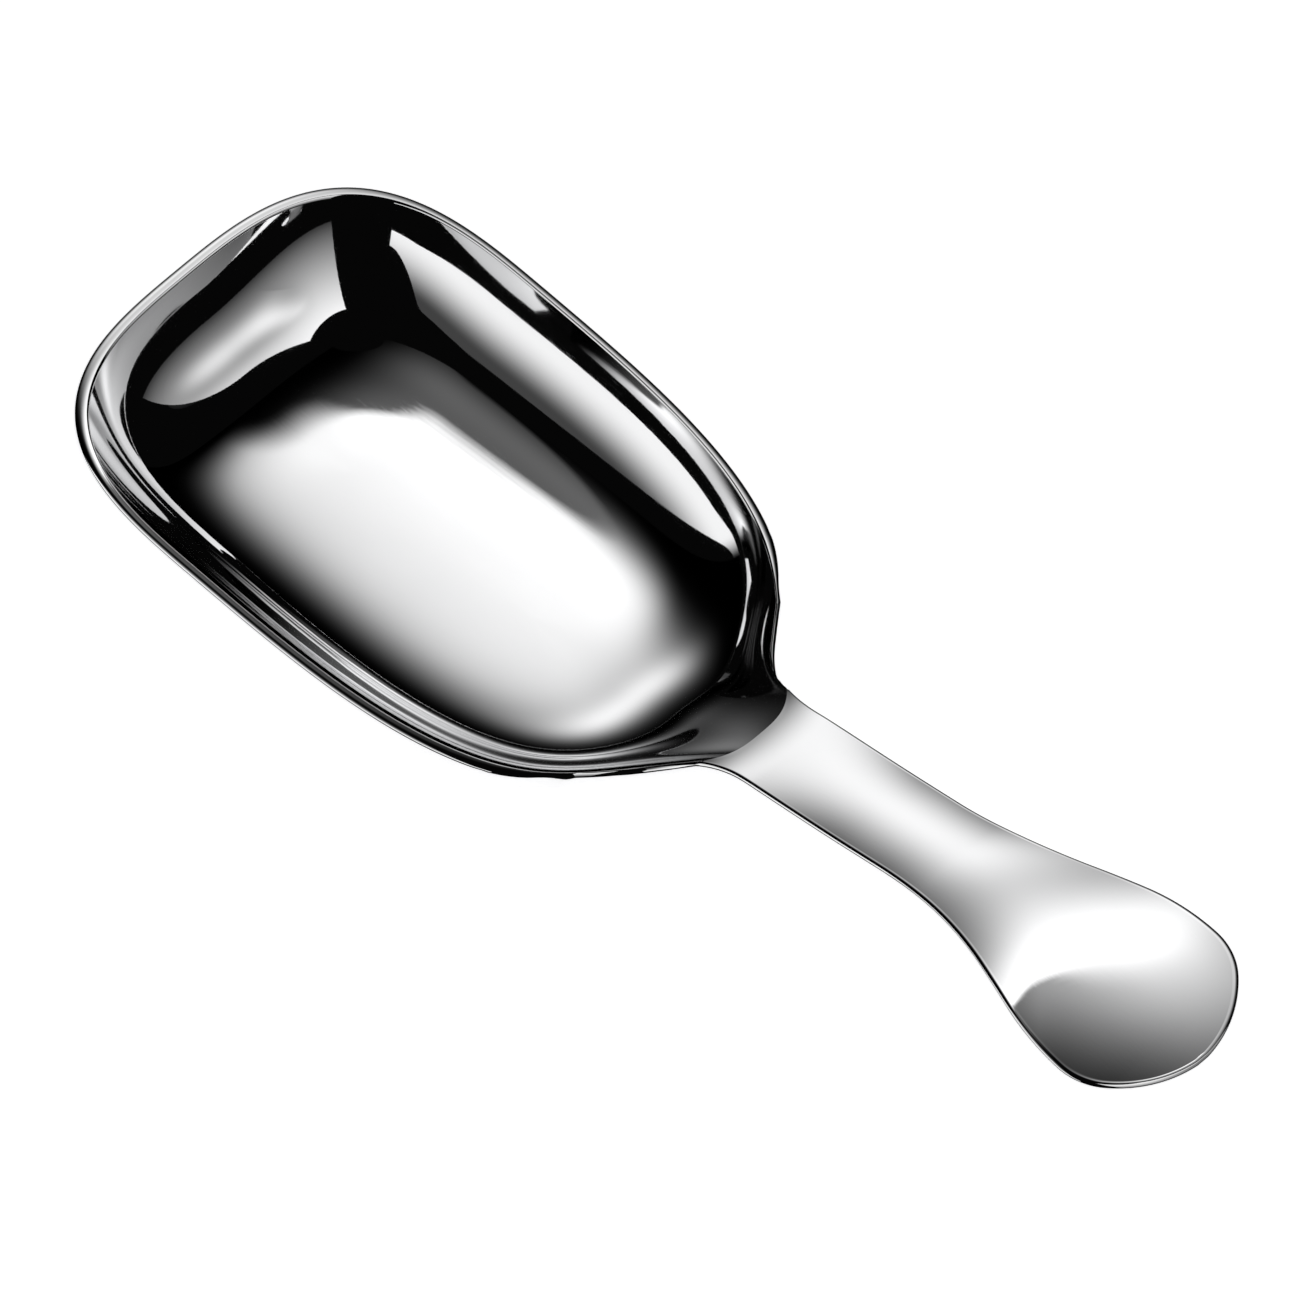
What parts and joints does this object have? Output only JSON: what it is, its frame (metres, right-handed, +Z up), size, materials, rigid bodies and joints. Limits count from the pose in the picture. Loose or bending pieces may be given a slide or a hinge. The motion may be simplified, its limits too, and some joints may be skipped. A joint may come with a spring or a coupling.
{
  "type": "ice scoop",
  "caption": "Small one-piece polished steel scoop: a shallow bowl with a rounded mouth for ice, and a short flat handle that rises from its rear rim.",
  "frame": {"origin": "on the surface that the scoop rests on, about 1 mm behind the middle of the flat face under the bowl", "axes": "+X from the bowl along the handle, +Z up out of the bowl's mouth, +Y across the bowl"},
  "size_m": [0.131, 0.0456, 0.0202],
  "materials": {
    "polished_steel": "mirror-polished stainless steel"
  },
  "bodies": {
    "root": {"scoop": "polished_steel"}
  },
  "joints": []
}
